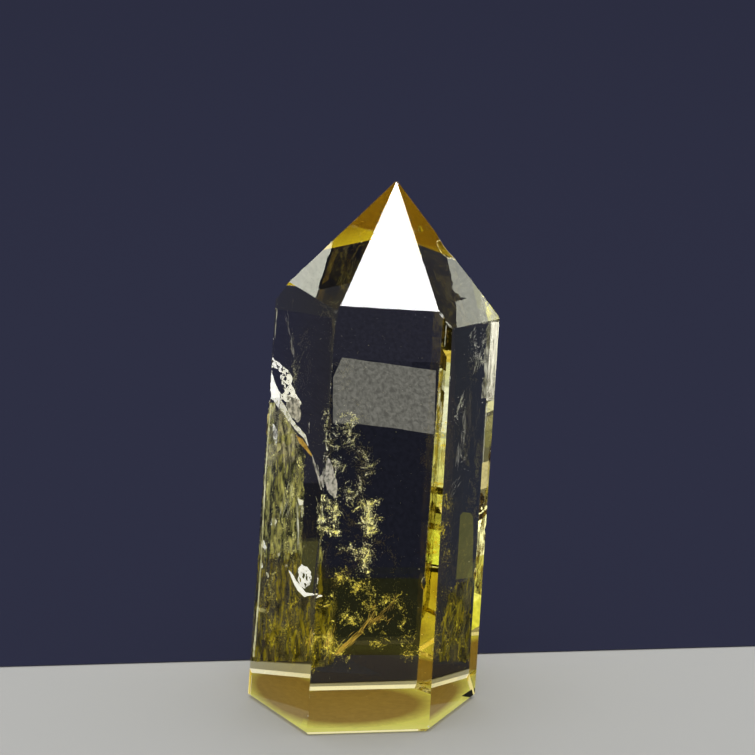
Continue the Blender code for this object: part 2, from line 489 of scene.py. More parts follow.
def ground_quartz_and_painted_light():
    """The ground finish, finely mottled, with painted light: darker in the middle, and lighter and glowing
    towards the rim, where light from round it gets in.
    """
    material, shader = principled("ground_quartz_and_painted_light", GROUND_LIT, GROUND_ROUGHNESS, GROUND_SPECULAR)
    place = object_place(material)
    radius = add_node(material, "VectorMath", {0: place, 1: GROUND_MIDDLE}, operation="DISTANCE")
    span = {"From Min": GROUND_RIM[0], "From Max": GROUND_RIM[1]}
    rim = add_node(material, "MapRange", {**span, "Value": radius.outputs["Value"]}).outputs["Result"]
    grain = noise_ramp(material, place, GRAIN_SPAN, GRAIN_DARK, (1, 1, 1), GROUND_GRAIN)
    tones = {"A": (*GROUND_SHADED, 1.0), "B": (*GROUND_LIT, 1.0), "Factor": rim}
    tone = add_node(material, "Mix", tones, data_type="RGBA")
    grained = add_node(material, "VectorMath", {0: tone.outputs["Result"], 1: grain}, operation="MULTIPLY")
    glow = add_node(material, "Math", {0: rim, 1: GROUND_PAINTED_GLOW}, operation="MULTIPLY")
    feed(shader, {"Base Color": grained.outputs["Vector"]})
    feed(shader, {"Emission Color": (*GROUND_LIT, 1.0), "Emission Strength": glow.outputs["Value"]})
    return material


def make_ground_base():
    """The base as it is finished: ground, not polished, so it shows pale and matt through the stone; its
    material paints shade in its middle and light towards its rim.
    """
    rim, middle = base_outline()
    shrunk = middle + (rim - middle) * GROUND_SHARE
    low = shrunk + np.array((0, 0, GROUND_CLEARANCE))
    high = low + np.array((0, 0, GROUND_THICKNESS))
    count = len(rim)
    sides = [(i, (i + 1) % count, (i + 1) % count + count, i + count) for i in range(count)]
    faces = [tuple(range(count))[::-1], tuple(range(count, 2 * count)), *sides]
    plate = add_object("ground_base", [*low, *high], faces, ground_quartz_and_painted_light())
    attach(plate, "root")


# --- Noise ---

NOISE_CELLS = 64


def value_noise(points, seed):
    """Smooth noise from 0 to 1 over a plane, in cells of one unit."""
    table = np.random.default_rng(seed).random((NOISE_CELLS, NOISE_CELLS))
    cell = np.floor(points).astype(int)
    t = points - cell
    t = t * t * (3 - 2 * t)
    near, far = cell % NOISE_CELLS, (cell + 1) % NOISE_CELLS
    x, y = t[..., 0], t[..., 1]
    low, high = (table[side[..., 0], near[..., 1]] * (1 - y) + table[side[..., 0], far[..., 1]] * y
                 for side in (near, far))
    return low * (1 - x) + high * x


def cloud_noise(points, seed, octaves=4):
    """Noise from 0 to 1 with finer and finer detail."""
    total, weight = 0.0, 0.0
    for octave in range(octaves):
        share = 0.5**octave
        total = total + share * value_noise(points * 2**octave, seed + octave)
        weight += share
    return total / weight


# --- Materials of the inclusions ---

STREAK_STRETCH = (1000.0, 1000.0, 210.0)
MOTTLE_STRETCH = (2000.0, 2000.0, 900.0)
STREAK_ROUGHNESS = 0.7
TINT_SPAN = (0.38, 0.64)
TINT_SCALE = 0.5
BAR_SPAN = (0.38, 0.58)
BAR_GAP = 0.15  # the cover between the streaks
PATCH_SPAN = (0.34, 0.6)
PATCH_GAP = 0.3  # and between the patches, as a share

# Rough, pale ones: dark and light colour, scale of the mottling, glow, which is painted light, roughness, and
# the span of noise over which dark turns to light
GLINTING = {
    "crack_lace": ((0.1, 0.1, 0.08), (0.98, 0.98, 0.94), 3200, 0.7, 0.3, (0.4, 0.45)),
    "crack_bright": ((0.7, 0.7, 0.6), (1, 1, 0.97), 2500, 0.75, 0.3, (0.36, 0.48)),
    "crack_white": ((0.45, 0.45, 0.36), (0.98, 0.98, 0.96), 1800, 0.5, 0.3, (0.4, 0.52)),
    "crack_lilac": ((0.2, 0.2, 0.18), (0.85, 0.82, 0.8), 1500, 0.22, 0.3, (0.36, 0.56)),
    "crack_gold": ((0.5, 0.26, 0.02), (0.9, 0.6, 0.12), 1200, 0.2),
    # The next is a dark colour painted on the cracks' backs as shade.
    "crack_back": ((0.05, 0.035, 0.008), (0.2, 0.15, 0.05), 1200, 0),
    "flake_pale": ((0.5, 0.46, 0.15), (0.98, 0.95, 0.6), 700, 0.15, 0.5, (0.35, 0.55)),
    # The next is for a painted highlight along the left outline.
    "edge_pale": ((0.5, 0.48, 0.22), (1, 0.97, 0.68), 500, 0.3, 0.5, (0.38, 0.6)),
    "veil_pale": ((0.6, 0.6, 0.28), (0.98, 0.97, 0.82), 1200, 0.3, 0.6),
    "veil_bright": ((0.75, 0.72, 0.25), (1, 0.98, 0.66), 1200, 0.55, 0.6),
    "veil_yellow": ((0.5, 0.42, 0.05), (1, 0.9, 0.2), 900, 0.4, 0.6),
    "feather_gold": ((0.5, 0.32, 0.04), (0.95, 0.7, 0.16), 900, 0.16, 0.5),
    "thread_pale": ((0.6, 0.62, 0.5), (0.98, 0.98, 0.92), 900, 0.2, 0.6),
    "thread_misty": ((0.4, 0.4, 0.25), (0.8, 0.8, 0.62), 900, 0.1, 0.6),
    "thread_green": ((0.4, 0.4, 0.1), (1, 0.98, 0.55), 900, 0.5, 0.6),
    "thread_yellow": ((0.5, 0.4, 0.02), (0.95, 0.84, 0.08), 900, 0.3, 0.6),
    # The next is the specks' white, also used for painted highlights on the arrises and the shoulder; the one
    # after is a painted highlight round the chip's rim.
    "specks_and_painted_highlights": ((0.7, 0.7, 0.62), (1, 1, 0.96), 1500, 0.3, 0.4),
    "rim_painted_highlight": ((0.95, 0.85, 0.42), (1, 0.96, 0.65), 1500, 0.75, 0.4),
}
# Patchy, see-through ones: dark and light colour, the most that they cover, and glow, which is painted light
STREAKY = {
    # The next is for a painted highlight along the front-left edge.
    "edge_faint": ((0.2, 0.19, 0.05), (0.6, 0.57, 0.25), 0.7),
    "point_glint": ((0.5, 0.5, 0.35), (1, 1, 0.9), 0.6),
    "chip_amber": ((0.3, 0.2, 0.01), (0.8, 0.58, 0.05), 0.7),
    "streaks_top": ((0.06, 0.06, 0.03), (1, 0.95, 0.72), 0.95, 0.12),
    "streaks_upper": ((0.1, 0.11, 0.03), (1, 0.98, 0.42), 0.9, 0.05),
    "streaks_lower": ((0.1, 0.085, 0.01), (0.72, 0.62, 0.07), 0.85),
    "right_mist": ((0.25, 0.24, 0.13), (1, 1, 0.88), 0.9, 0.25),
}


def glinting(name, dark, light, scale, glow, roughness=0.5, span=(0.4, 0.6)):
    """A rough pale inclusion that varies between two colours. Its glow is painted light, standing in for the
    light that reaches it along ways too narrow for the renderer to find."""
    material, shader = principled(name, light, roughness)
    colour = noise_ramp(material, object_place(material), span, dark, light, scale)
    feed(shader, {"Base Color": colour, "Emission Color": colour, "Emission Strength": glow})
    return material


def streaky(name, dark, light, cover, glow=0.0):
    """A patchy see-through film with upright streaks, and with a glow of painted light as glinting() has."""
    material, shader = principled(name, light, STREAK_ROUGHNESS, 0.0)
    streaks = object_place(material, STREAK_STRETCH)
    mottle = object_place(material, MOTTLE_STRETCH)
    colour = noise_ramp(material, mottle, TINT_SPAN, dark, light, TINT_SCALE)
    feed(shader, {"Base Color": colour, "Emission Color": colour, "Emission Strength": glow})
    bars = noise_ramp(material, streaks, BAR_SPAN, (BAR_GAP,) * 3, (cover,) * 3)
    patches = noise_ramp(material, mottle, PATCH_SPAN, (PATCH_GAP,) * 3, (1, 1, 1))
    both = add_node(material, "Math", {0: bars, 1: patches}, operation="MULTIPLY")
    feed(shader, {"Alpha": both.outputs["Value"]})
    return material


LOOKS = {name: glinting(name, *look) for name, look in GLINTING.items()}
LOOKS.update({name: streaky(name, *look) for name, look in STREAKY.items()})

# --- Making of the inclusions ---

LARGE_FACE = 4 * MM * MM  # the least area of a facet's face
SKIN = 0.12 * MM  # the least quartz that covers an inclusion


def in_outline(points, outline):
    """Which of these points lie inside a closed outline."""
    found = np.zeros(points.shape[:-1], bool)
    x, y = points[..., 0], points[..., 1]
    for (x0, y0), (x1, y1) in zip(outline, outline[1:] + outline[:1]):
        if y0 == y1:
            continue
        crosses = (y0 > y) != (y1 > y)
        found ^= crosses & (x < (x1 - x0) * (y - y0) / (y1 - y0) + x0)
    return found


def walls():
    """The stone's large flat facets, as outward normals and distances from the origin."""
    large = {}
    for polygon in NODE.data.polygons:
        if polygon.area > LARGE_FACE:
            key = tuple(round(value, 2) for value in polygon.normal)
            large[key] = (*polygon.normal, polygon.normal.dot(polygon.center))
    rows = np.array(list(large.values()))
    return rows[:, :3], rows[:, 3]


WALL_NORMALS, WALL_DISTANCES = walls()


def buried(points):
    """Which of these points lie well inside the stone."""
    return (points @ WALL_NORMALS.T < WALL_DISTANCES - SKIN).all(-1)


def add_inclusion(name, points, faces, material):
    piece = add_object(name, points, faces, LOOKS[material])
    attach(piece, "root")
    return piece


# The yellow edge shows the stone's inside along the left face. The left inclusions keep clear of that: near
# the outline they lie just under the face, and farther in they lie behind it.
NEAR_DEPTH = 0.6  # millimetres
NEAR_WIDTH = 10  # pixels from the left outline
TUCK_DEPTH = 2.9  # millimetres, where it would meet the left outline
TUCK_SLOPE = 0.06  # millimetres for each pixel to the right
LEFT_OUTLINE_ROW = 360
LEFT_OUTLINE_X = 273
LEFT_OUTLINE_SLOPE = -0.0724  # pixels to the right for each row down


def tucked(pixels):
    """The depths, in millimetres, of the left face's inclusions at these photo pixels."""
    outline = LEFT_OUTLINE_X + LEFT_OUTLINE_SLOPE * (pixels[..., 1] - LEFT_OUTLINE_ROW)
    across = pixels[..., 0] - outline
    return np.where(across < NEAR_WIDTH, NEAR_DEPTH, TUCK_DEPTH + TUCK_SLOPE * across)


FILM_STEP = 0.5  # pixels between a film's points
FILM_THICKNESS = 0.02 * MM
LONGEST_CELL = 0.7 * MM  # a film's cell longer than this is a step between two depths, and is left open
TEAR_SIZE = 5  # pixels across the tears of its edge
TEAR_SEEDS = (20, 30)  # added to the film's seed, across and down
RUFFLE_SIZE = 9  # pixels across its ruffles


def film(name, facet, outline, depth, material, tilt, ruffle, ragged, seed, gaps=(), back=None,
         step=FILM_STEP):
    """A thin fracture or veil that shows in this outline of photo pixels, with gaps of the same kind. Its
    depth is in millimetres at the outline's middle, and tilt is by how much that grows over 100 pixels to
    the right and down; or depth is a function that gives it at any pixels. Ruffle is how uneven it is, in
    millimetres, and ragged how far its edge is torn, in pixels."""
    low, high = np.min(outline, 0), np.max(outline, 0)
    xs = np.arange(low[0] - ragged, high[0] + ragged, step)
    ys = np.arange(low[1] - ragged, high[1] + ragged, step)
    pixels = np.stack(np.meshgrid(xs, ys), -1)
    shift = np.stack([cloud_noise(pixels / TEAR_SIZE, seed + other) - 0.5 for other in TEAR_SEEDS], -1)
    torn = pixels + 2 * ragged * shift
    kept = in_outline(torn, list(outline))
    for gap in gaps:
        kept &= ~in_outline(torn, list(gap))
    if callable(depth):
        depths = depth(pixels)
    else:
        depths = depth + (pixels - (low + high) / 2) @ np.array(tilt) / 100
    depths = depths + ruffle * (cloud_noise(pixels / RUFFLE_SIZE, seed) - 0.5) * 2
    points = inside(facet, pixels.reshape(-1, 2), depths.reshape(-1) * MM)
    kept &= buried(points).reshape(kept.shape)
    shell(name, points, kept, facet[1], material, back or material)


def shell(name, points, kept, outward, material, back):
    """A thin closed sheet over the grid cells whose four corners are kept, with a material for its back."""
    columns = kept.shape[1]
    cells = kept[:-1, :-1] & kept[1:, :-1] & kept[:-1, 1:] & kept[1:, 1:]
    row, column = np.nonzero(cells)
    first = row * columns + column
    across = np.linalg.norm(points[first + columns + 1] - points[first], axis=1)
    first = first[across < LONGEST_CELL]
    squares = np.stack([first, first + columns, first + columns + 1, first + 1], -1)
    used, index = np.unique(squares, return_inverse=True)
    front = index.reshape(-1, 4)
    count = len(used)
    corners = np.concatenate([points[used], points[used] - outward * FILM_THICKNESS])
    edges = np.concatenate([front[:, [side, (side + 1) % 4]] for side in range(4)])
    _, where, times = np.unique(edges.min(1) * count + edges.max(1), return_index=True, return_counts=True)
    rim = edges[where[times == 1]]
    round_it = np.stack([rim[:, 1], rim[:, 0], rim[:, 0] + count, rim[:, 1] + count], -1)
    faces = np.concatenate([front, front[:, ::-1] + count, round_it])
    piece = add_inclusion(name, corners, faces.tolist(), material)
    piece.data.materials.append(LOOKS[back])
    piece.data.polygons.foreach_set("material_index", (np.arange(len(faces)) >= len(front)).astype(np.int32))


FLAKE_CORNERS = np.array(((1, 1, 1), (1, -1, -1), (-1, 1, -1), (-1, -1, 1))) / sqrt(3)
FLAKE_FACES = np.array(((0, 1, 2), (0, 3, 1), (0, 2, 3), (1, 3, 2)))
FLAKE_SHAPE = np.array((1.0, 0.7, 0.25))


def random_turns(count, rng):
    """Random rotation matrices."""
    q = rng.normal(size=(count, 4))
    w, x, y, z = (q / np.linalg.norm(q, axis=1, keepdims=True)).T
    rows = (
        (1 - 2 * (y * y + z * z), 2 * (x * y - z * w), 2 * (x * z + y * w)),
        (2 * (x * y + z * w), 1 - 2 * (x * x + z * z), 2 * (y * z - x * w)),
        (2 * (x * z - y * w), 2 * (y * z + x * w), 1 - 2 * (x * x + y * y)),
    )
    return np.moveaxis(np.array(rows), -1, 0)


def flakes(name, points, sizes, material, seed):
    """A small flat flake at each point, turned at random, all in one mesh."""
    turns = random_turns(len(points), np.random.default_rng(seed))
    corners = (FLAKE_CORNERS * FLAKE_SHAPE) @ turns * sizes[:, None, None] + points[:, None, :]
    faces = FLAKE_FACES + 4 * np.arange(len(points))[:, None, None]
    add_inclusion(name, corners.reshape(-1, 3), faces.reshape(-1, 3).tolist(), material)


CURL_STEPS = 24
CURL_FLAKES = 70  # the flakes of a usual curl
CURL_WANDER = 0.2  # radians that a curl turns at each step
CLOUD_FILL = 0.45  # how far curls lie from a cloud's middle, as a share of its half-sizes
# How much curls vary in length, number of flakes and width, and their usual width, as natural logarithms
LENGTHS_VARY = 0.5
NUMBERS_VARY = 0.8
WIDTHS_VARY = 0.7
CURL_WIDTH = -0.2
CURL_HEAD = 0.4  # the share of its width that a curl has where it begins
HEAD_CROWD = 1.5  # the power by which its flakes crowd there
STRAY_SHARE = 0.22  # of the flakes lie loose about the curls
STRAY_REACH = 3.0  # pixels that they stray
DEPTH_STRAY = 0.12  # millimetres that they leave the veil by
SIZES_VARY = 0.55


def veil(name, facet, clouds, material, depth, spread, middle=(0, 0), tilt=(0, 0), size=0.04, reach=9.0,
         upright=1.0, seed=1):
    """A feathery veil of tiny flakes, gathered in curls. Each cloud of curls is its middle x, y and
    half-sizes across and along in photo pixels, its lean in degrees, and its number of flakes. Depth is in
    millimetres at the pixel called middle, or a function as in film(), tilt is by how much it grows over 100
    pixels, and spread is how far the curls stray from it. Size is a flake's in millimetres, reach a curl's
    length in pixels, and upright how much it is stretched along the column."""
    rng = np.random.default_rng(seed)
    pixels, depths = [], []
    for x, y, across, along, lean, count in clouds:
        curls = max(3, count // CURL_FLAKES)
        starts = rng.normal(size=(curls, 2)) * CLOUD_FILL * (across, along)
        turn = radians(lean)
        starts = starts @ np.array(((cos(turn), -sin(turn)), (sin(turn), cos(turn))))
        heading = rng.uniform(0, 2 * pi, (curls, 1))
        heading = heading + np.cumsum(rng.normal(0, CURL_WANDER, (curls, CURL_STEPS)), 1)
        lengths = reach * rng.lognormal(0, LENGTHS_VARY, (curls, 1, 1)) / CURL_STEPS
        lines = np.cumsum(np.stack([np.cos(heading), np.sin(heading) * upright], -1) * lengths, 1)
        share = rng.lognormal(0, NUMBERS_VARY, curls)
        curl = rng.choice(curls, count, p=share / share.sum())
        step = (rng.random(count) ** HEAD_CROWD * CURL_STEPS).astype(int)
        width = rng.lognormal(CURL_WIDTH, WIDTHS_VARY, curls)[curl] * (CURL_HEAD + step / CURL_STEPS)
        width = np.where(rng.random(count) < STRAY_SHARE, STRAY_REACH, width)
        strayed = rng.normal(size=(count, 2)) * width[:, None] * (1, upright)
        pixels.append(starts[curl] + lines[curl, step] + strayed + (x, y))
        depths.append(rng.normal(0, spread, curls)[curl] + rng.normal(0, DEPTH_STRAY, count))
    pixels, depths = np.concatenate(pixels), np.concatenate(depths)
    if callable(depth):
        sheet = depth(pixels) + depths
    else:
        sheet = depth + (pixels - middle) @ np.array(tilt) / 100 + depths
    points = inside(facet, pixels, sheet * MM)
    points = points[buried(points)]
    flakes(name, points, size * MM * rng.lognormal(0, SIZES_VARY, len(points)), material, seed)


NEEDLE_SIDES = 3
NEEDLE_START = 0.6  # the farthest along its stroke, as a share, that a thread begins
NEEDLE_RUN = (0.15, 0.4)  # the share of the stroke that it runs
NEEDLE_TURN = 0.4  # how far it turns out of line, as a share of how far it strays
NEEDLE_DEPTHS = 0.15  # how far it strays in depth, as a share
NEEDLE_DIP = 0.06  # and how far its ends differ
NEEDLE_WIDTHS = (0.6, 1.3)


def needles(name, facet, strokes, material, depth, seed=1):
    """Fine threads in the stone. Each stroke is its two ends in photo pixels, how far its threads stray to
    each side, their number and their half-thickness in millimetres."""
    rng = np.random.default_rng(seed)
    points, faces = [], []
    for x0, y0, x1, y1, stray, count, thickness in strokes:
        ends = np.array(((x0, y0), (x1, y1)), float)
        for _ in range(count):
            start = rng.uniform(0, NEEDLE_START)
            stop = start + rng.uniform(*NEEDLE_RUN)
            bow = rng.normal(size=2) * stray
            line = ends[0] + (ends[1] - ends[0]) * np.array((start, stop))[:, None] + bow
            line[1] += rng.normal(size=2) * stray * NEEDLE_TURN
            at = depth + rng.normal() * NEEDLE_DEPTHS * depth
            tips = inside(facet, line, np.array((at, at + rng.normal() * NEEDLE_DIP * depth)) * MM)
            if buried(tips).all():
                add_spindle(points, faces, tips, thickness * MM * rng.uniform(*NEEDLE_WIDTHS))
    add_inclusion(name, points, faces, material)


def add_spindle(points, faces, tips, thickness):
    """A thin thread, pointed at both ends."""
    along = Vector(tips[1] - tips[0]).normalized()
    side = along.orthogonal().normalized()
    middle = Vector(tips[0] + tips[1]) / 2
    first = len(points)
    points.extend((tips[0], tips[1]))
    for step in range(NEEDLE_SIDES):
        turn = 2 * pi * step / NEEDLE_SIDES
        points.append(middle + (side * cos(turn) + along.cross(side) * sin(turn)) * thickness)
    for step in range(NEEDLE_SIDES):
        here, there = first + 2 + step, first + 2 + (step + 1) % NEEDLE_SIDES
        faces.extend(((first, there, here), (first + 1, here, there)))


# --- Fractures: outlines in photo pixels ---

CRACK_LACE = [
    (269, 356), (273, 357.5), (276, 361), (279, 362), (283, 366.5), (288.5, 370.5), (290.5, 375),
    (293, 378), (291.5, 384), (294.5, 389), (296, 394), (299.5, 399), (301.5, 404), (296, 405), (288, 402),
    (281, 399), (277.5, 391), (273, 381), (269, 373), (268, 366),
]
CRACK_HOLE = [
    (272, 367.5), (276, 369), (279, 368.5), (279.5, 372), (282, 373.5), (279.5, 377), (281.5, 379.5),
    (281, 384), (284, 386), (283, 389.5), (285, 391.5), (282, 394), (279, 391), (276, 384), (273, 377),
]
CRACK_DOTS = (
    [(276, 364.5), (278.6, 366.6), (277.2, 368)], [(285, 376.5), (287, 378.5), (286, 381), (284.3, 379.5)],
    [(285.5, 384), (288, 386), (286, 388.5)], [(281.5, 367.5), (283, 369.5), (281.6, 370.6)], [(272, 360),
    (273.5, 361.5), (272, 363)], [(286, 371.5), (287.5, 373.5), (286, 374.5)], [(289, 391), (290.5, 394),
    (288.5, 394.5)], [(283.5, 372.5), (285, 375), (283, 375.5)],
)
CRACK_MOUTH = [
    (271.5, 371), (273.5, 376), (276, 384), (279.3, 392.5), (282, 400), (279, 403), (272, 400), (267, 394),
    (267, 378),
]
CRACK_BAND = [
    (272, 399), (277, 395.5), (281, 398.5), (286.5, 408), (291, 417), (296.5, 424), (306, 435), (309, 446),
    (312.2, 452.5), (308, 446), (303, 438), (296, 431), (288, 420.5), (277.5, 407),
]
CRACK_SHADE = [
    (287, 396), (294, 397), (299, 401), (301, 412), (301, 420), (297, 424), (291, 417), (286.5, 408),
]
CRACK_GOLD = [(295.5, 434), (303, 439), (308, 447), (312, 453.5), (313, 457), (308, 453), (299, 443)]
CRACK_TAIL = [(311.5, 452), (315, 462), (319.5, 476), (322, 490), (320.5, 490), (317, 476), (313, 463)]
SILVER_FLAKE = [
    (324.5, 459), (328.7, 457.5), (333.5, 468), (337.6, 484), (336.8, 499), (330, 494.5), (326.5, 490),
    (326, 474),
]
SILVER_SIDE = [(324, 461), (323.5, 489), (321, 485), (319, 477), (322, 474)]
SHELL_FAN = [
    (299, 566), (301.5, 563.5), (307, 566), (311, 570), (312, 576), (311, 582), (308.5, 586.5),
    (305, 589.5), (300, 586), (297.5, 580), (299, 574.5), (297.5, 570),
]
SHELL_GAPS = (
    [(302.5, 573), (304, 575), (303.6, 579), (302.4, 576.5)], [(306, 574), (307.6, 578), (306.8, 582),
    (305.6, 578)], [(304, 583), (306.5, 585), (305, 587.5)], [(300, 577), (301.4, 580), (300.4, 583)],
)
SHELL_RIDGE = [
    (287.5, 569), (290, 570.5), (294, 576), (297.5, 581.5), (302, 587), (306, 592), (310, 593),
    (314, 593.5), (314, 595.5), (309, 595.5), (304, 597), (299, 592.5), (295, 586), (291, 578),
]
EDGE_BAND = [
    (270, 404), (271.8, 404), (268.6, 440), (265.8, 480), (263.3, 540), (259.4, 600), (254.6, 657),
    (252.2, 657), (257.6, 600), (261.4, 540), (264.2, 480), (267.2, 440),
]
EDGE_LINE = [(318.8, 541), (314.4, 592), (309.8, 657), (310.9, 657), (315.4, 592), (319.6, 541)]
SMALL_FLAKES = (
    [(271, 518), (274, 516.5), (277, 521), (275, 528), (270.5, 525)], [(262, 541), (264, 539), (267, 548),
    (265, 551), (261.5, 546)], [(278, 553), (280.5, 552), (280, 556), (278, 557)], [(260.5, 563),
    (263, 563), (262.5, 569), (260, 567)], [(265.5, 571), (268, 573), (269, 577), (267, 578.5)],
    [(284, 565), (287, 563.5), (288, 567), (285.5, 568)], [(272.5, 422), (275, 426), (278.5, 432),
    (278, 441), (275, 446), (272.8, 436)], [(297, 495), (300, 499), (303.5, 500), (304, 512), (302, 519),
    (299.5, 510)],
)
YELLOW_FLAKES = (
    [(258, 607.5), (263, 608), (269, 611), (266, 614), (259, 611.5)], [(274, 444), (281, 443), (282, 450),
    (277, 452)],
)
# The chip at the point's right edge, and the bright streaks by the shoulder's right corner
CHIP_RIM = [
    (436.5, 242), (438.5, 240.5), (443, 240.2), (447, 245), (452, 252), (456.5, 259), (459.5, 263.5),
    (456, 260.5), (451.5, 258), (449, 258.5), (446, 256.5), (442, 253.5), (438.5, 248),
]
POINT_GLINT = [
    (480, 294), (483.5, 292.5), (490, 302), (499.5, 316), (498, 319), (490, 321.5), (479, 324), (478, 310),
]


# Cracks on the left, as deep as tucked() says: outline, material, ruffle, ragged edge and gaps
CRACKS = {
    "crack_lace": (CRACK_LACE, "crack_lace", 0.3, 1.3, (CRACK_HOLE, *CRACK_DOTS)),
    "crack_mouth": (CRACK_MOUTH, "crack_bright", 0.1, 0.5),
    "crack_band": (CRACK_BAND, "crack_white", 0.3, 0.7),
    "crack_shade": (CRACK_SHADE, "crack_lilac", 0.3, 1.6),
}
# Other films: facet, outline, depth, material, tilt, ruffle, ragged edge, seed, and what is not as usual
# The cracks' backs are painted dark, as shade.
BACKED = {"back": "crack_back"}
FINE = {"step": 0.4}
FILMS = {
    "crack_gold": (LEFT, CRACK_GOLD, 3, "crack_gold", (6, 2), 0.1, 0.8, 12, BACKED),
    "shell_fan": (LEFT, SHELL_FAN, 1.6, "crack_lace", (3, 1), 0.3, 1.4, 13, {"gaps": SHELL_GAPS, **BACKED}),
    "shell_ridge": (LEFT, SHELL_RIDGE, 1.7, "crack_bright", (3, 1), 0.1, 0.8, 14, BACKED),
    "crack_tail": (LEFT, CRACK_TAIL, 2.4, "crack_lilac", (4, 2), 0.2, 0.3, 16, {"step": 0.35}),
    "silver_flake": (FRONT, SILVER_FLAKE, 1, "crack_lilac", (10, 2), 0.15, 0.7, 7, {}),
    "silver_side": (LEFT, SILVER_SIDE, 1, "crack_lilac", (-10, 2), 0.1, 0.5, 17, {}),
    # edge_band and edge_line are painted highlights along the left outline and the front-left edge.
    "edge_band": (LEFT, EDGE_BAND, 0.2, "edge_pale", (0, 0), 0, 0.3, 10, FINE),
    "edge_line": (LEFT, EDGE_LINE, 0.25, "edge_faint", (0, 0), 0, 0.2, 11, FINE),
    **{f"small_flake_{number}": (LEFT, outline, tucked, "crack_white", (0, 0), 0.1, 0.8, 20 + number, BACKED)
       for number, outline in enumerate(SMALL_FLAKES)},
    **{f"yellow_flake_{number}": (LEFT, outline, tucked, "flake_pale", (0, 0), 0.1, 0.8, 40 + number, {})
       for number, outline in enumerate(YELLOW_FLAKES)},
    "chip_amber": (POINT_RIGHT, CHIP_RIM, 0.6, "chip_amber", (0, 0), 0, 0.1, 18, {}),
    "point_glint": (POINT_RIGHT, POINT_GLINT, 0.5, "point_glint", (4, 0), 0.1, 1, 19, {}),
}


def make_fractures():
    """The silvery cracks of the left side, the shell-shaped flakes below them, and painted highlights along
    the left outline and the front-left edge.
    """
    for number, (name, (outline, material, ruffle, ragged, *gaps)) in enumerate(CRACKS.items()):
        film(name, LEFT, outline, tucked, material, (0, 0), ruffle, ragged, 3 + number, *gaps, **BACKED)
    for name, (*look, options) in FILMS.items():
        film(name, *look, **options)


# --- Veils: clouds as in veil(), and strokes as in needles() ---

FRONT_TOP_CLOUDS = ((351, 417, 13, 6, 0, 850), (348, 433, 7, 5, 0, 350))
FRONT_CLOUDS = (
    (352, 442, 4, 9, 25, 420), (358, 451, 4, 4, 0, 130), (334, 428, 6, 10, 0, 120),
    (340, 442, 4, 12, -10, 150), (366, 457, 3, 4, 0, 150), (368, 472, 3, 8, -8, 320),
    (330, 440, 2, 4, 0, 90), (331, 450, 3, 6, 0, 260), (336, 462, 4, 6, 10, 260), (337, 480, 3, 8, 20, 220),
    (343, 478, 5, 10, 0, 200), (359, 487, 5, 7, -20, 300), (348, 496, 5, 8, 20, 260),
    (353, 500, 14, 14, 0, 250),
)
BRIGHT_CLOUDS = (
    (369, 502, 6, 4, 10, 500), (368, 512, 4, 7, 0, 700), (368, 524, 4, 9, 0, 1000),
    (367, 533, 2, 4, 0, 350), (374, 505, 3, 6, 0, 150), (331, 505, 8, 8, 0, 600), (333, 518, 8, 9, 0, 700),
    (336, 532, 5, 4, 0, 600), (327, 527, 3, 10, 0, 350), (368, 553, 5, 8, 0, 900), (367, 566, 5, 8, 0, 500),
    (350, 552, 14, 12, 0, 350),
)
GOLDEN_CLOUDS = (
    (339, 576, 6, 5, 25, 700), (355, 586, 5, 8, 0, 1000), (366, 586, 2, 2, 0, 90),
    (330, 603, 3, 12, 0, 300), (371, 600, 4, 7, 0, 400), (349, 618, 3, 7, 10, 500),
    (384, 603, 5, 6, 20, 450), (395, 598, 5, 16, 0, 350), (329, 640, 5, 16, -8, 1300),
    (340, 650, 8, 7, -40, 900), (355, 622, 14, 16, 0, 500), (380, 625, 14, 14, 0, 400),
    (404, 634, 6, 8, 20, 350), (410, 652, 6, 9, 0, 600), (375, 645, 22, 14, 0, 450),
    (360, 600, 28, 20, 0, 400),
)
FRONT_STROKES = (
    (350.5, 513.5, 361.5, 504.5, 0.5, 9, 0.05), (359.5, 515, 365, 524, 0.5, 8, 0.05),
    (354.5, 524.5, 362, 521.5, 0.4, 5, 0.035), (376, 513.5, 373.5, 521, 0.3, 5, 0.04),
    (377.5, 520.5, 373.5, 530.5, 0.4, 6, 0.045), (366, 500, 370, 530, 2.2, 22, 0.035),
    (328, 500, 338, 520, 4.0, 12, 0.02), (344, 496, 352, 510, 3.0, 8, 0.025),
    (362, 545, 374, 560, 3.0, 10, 0.03),
)
FEATHER_STROKES = (
    (334, 656, 366, 627, 1.6, 60, 0.035), (334, 656, 358, 634, 0.8, 16, 0.05),
    (356, 638, 374, 613, 1.2, 26, 0.03), (366, 627, 379, 600, 1.4, 20, 0.025),
    (366, 626, 393, 606, 1.8, 24, 0.025), (372, 626, 388, 614, 2.0, 14, 0.025),
    (384, 624, 398, 590, 3.0, 14, 0.02), (326, 656, 332, 626, 2.0, 26, 0.045),
)


def make_veils():
    """The feathery veils seen through the front face."""
    veil("front_top_veil", FRONT, FRONT_TOP_CLOUDS, "veil_pale", 5.0, 0.3, reach=8.0, seed=15)
    veil("front_veil", FRONT, FRONT_CLOUDS, "veil_pale", 4.2, 0.5, (350, 480), (14, 1.1), reach=8.0, seed=11)
    veil("bright_veil", FRONT, BRIGHT_CLOUDS, "veil_bright", 4.6, 0.6, (350, 520), (12, 1.1), reach=6,
         seed=21)
    veil("golden_veil", FRONT, GOLDEN_CLOUDS, "veil_yellow", 5.5, 1.0, (365, 620), (8, 1), reach=7, seed=12)
    needles("front_needles", FRONT, FRONT_STROKES, "veil_bright", 4.0, seed=13)
    needles("golden_feather", FRONT, FEATHER_STROKES, "feather_gold", 5.0, seed=14)


